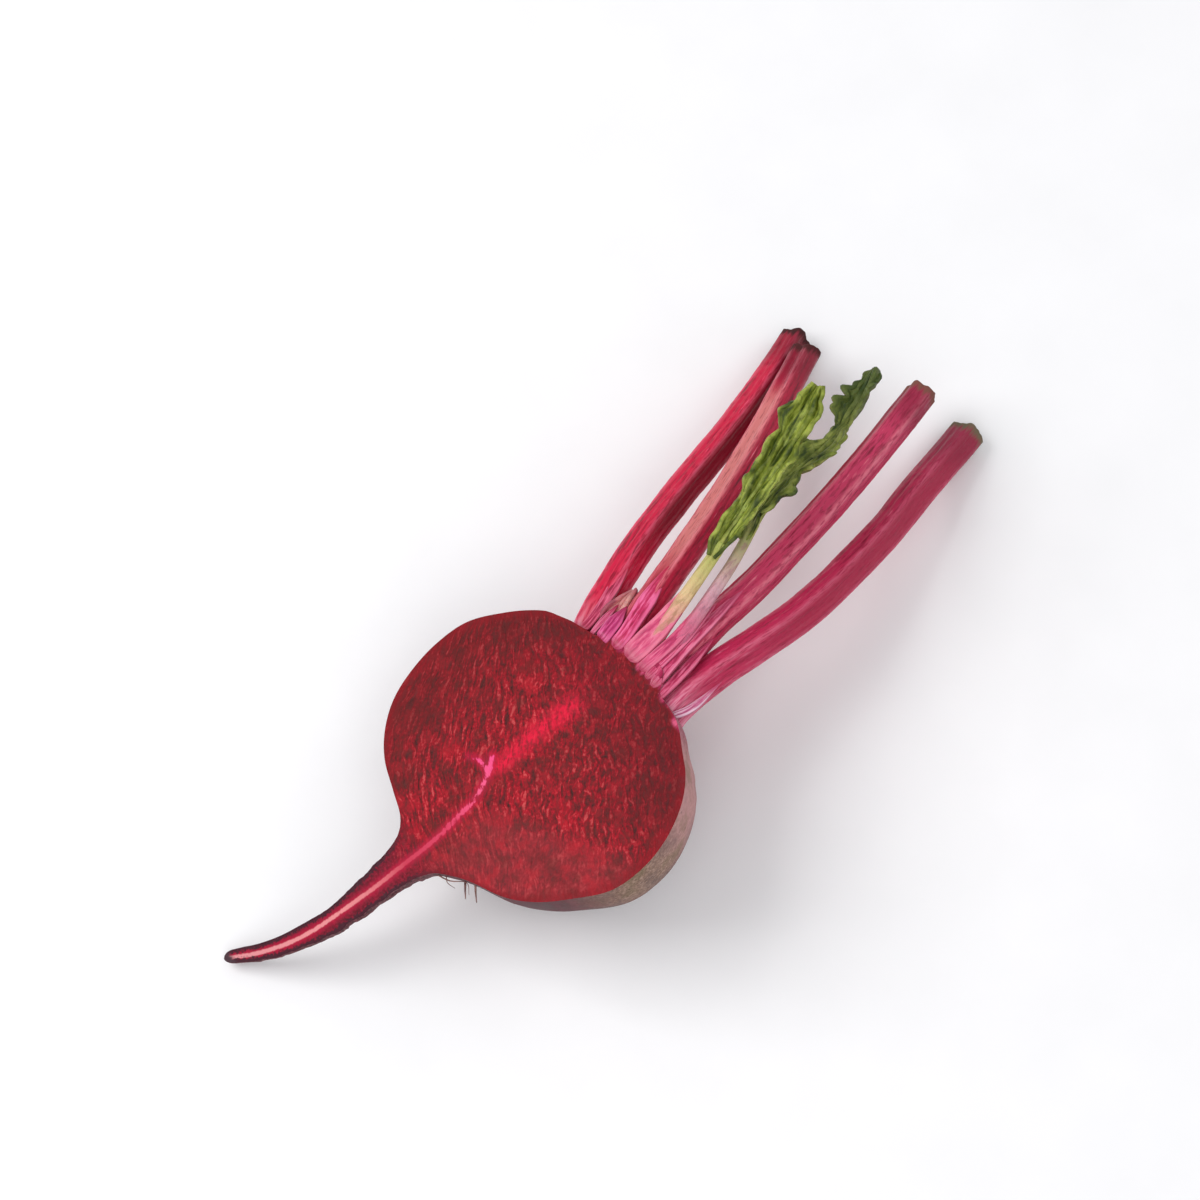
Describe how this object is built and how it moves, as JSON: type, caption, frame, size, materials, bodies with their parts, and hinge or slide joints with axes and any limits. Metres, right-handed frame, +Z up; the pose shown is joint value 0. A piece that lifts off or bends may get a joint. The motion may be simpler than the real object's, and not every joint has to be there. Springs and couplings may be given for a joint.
{
  "type": "halved beetroot",
  "caption": "Beetroot cut in half lengthwise, with its tail, cut leaf stalks and young leaves, lying on its round back.",
  "frame": {"origin": "centre of the small flat spot under the half root that it rests on", "axes": "+Z up, +X level along the root from the tail towards the crown and the stalks"},
  "size_m": [0.2141, 0.0894, 0.0547],
  "materials": {
    "beet_root": "moist deep red cut flesh, dull maroon skin",
    "beet_stalk": "smooth ridged magenta-crimson stalk, satin",
    "beet_leaf": "crinkled young green leaf, satin",
    "beet_scale": "dry papery pink-brown scale"
  },
  "bodies": {
    "root": {"half_root": "beet_root", "petiole_1": "beet_stalk", "petiole_2": "beet_stalk", "petiole_3": "beet_stalk", "petiole_4": "beet_stalk", "young_leaf_1": "beet_leaf", "young_leaf_2": "beet_leaf", "crown_scale": "beet_scale"}
  },
  "joints": []
}
